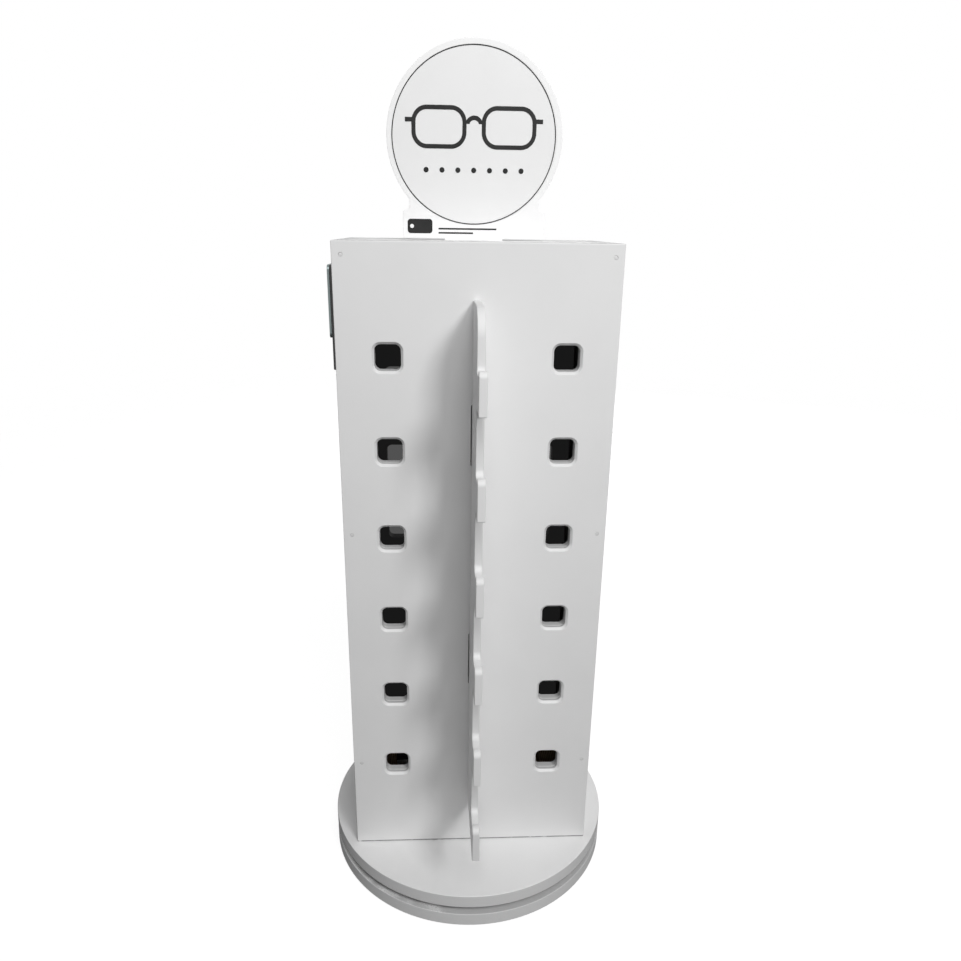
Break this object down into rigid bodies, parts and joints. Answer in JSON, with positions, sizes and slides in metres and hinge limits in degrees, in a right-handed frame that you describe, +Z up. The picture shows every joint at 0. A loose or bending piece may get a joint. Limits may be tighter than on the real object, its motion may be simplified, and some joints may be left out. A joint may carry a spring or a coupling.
{
  "type": "eyeglass display rack",
  "caption": "Countertop eyewear display: a two-sided white box column on a ball-bearing turntable, with square temple holes, notched nose-rest fins and a round header sign.",
  "frame": {"origin": "centre of the footprint, on the surface that the rubber feet rest on", "axes": "+Z up; the front panel faces -Y; +X is to the right of someone facing the front panel"},
  "size_m": [0.272, 0.3222, 0.734],
  "materials": {
    "white_board": "satin white foam board",
    "sign_board": "satin white printed board",
    "ink": "black printed film",
    "cleat_wood": "planed softwood",
    "steel": "zinc-plated",
    "painted_nail": "white-painted heads",
    "dark_screw": "black oxide",
    "rubber": "matt",
    "dark_board": "satin black plastic",
    "mirror_acrylic": "acrylic mirror"
  },
  "bodies": {
    "base": {"base_disc": "white_board", "rubber_feet": "rubber", "foot_screws": "steel", "bearing_bottom_plate": "steel", "bearing_bottom_screws": "steel", "bearing_balls": "steel"},
    "tower": {"bearing_top_plate": "steel", "bearing_top_screws": "steel", "turntable_disc": "white_board", "front_panel": "white_board", "back_panel": "white_board", "left_side_panel": "white_board", "right_side_panel": "white_board", "top_panel": "white_board", "top_cleats": "cleat_wood", "bottom_cleats": "cleat_wood", "top_cleat_screws": "steel", "bottom_cleat_screws": "steel", "turntable_screws": "steel", "front_panel_nails": "painted_nail", "back_panel_nails": "painted_nail", "front_nose_fin": "white_board", "back_nose_fin": "white_board", "side_mirror_backer": "dark_board", "side_mirror_glass": "mirror_acrylic", "side_mirror_screws": "dark_screw"},
    "header": {"header_sign": "sign_board", "sign_graphics": "ink"}
  },
  "joints": [
    {"name": "turntable_spin", "type": "hinge", "parent": "base", "child": "tower", "pos_m": [0, 0, 0.0195], "axis": [0, 0, 1], "continuous": true},
    {"name": "header_lift", "type": "slide", "parent": "tower", "child": "header", "axis": [0, 0, 1], "range_m": [0, 0.03]}
  ]
}
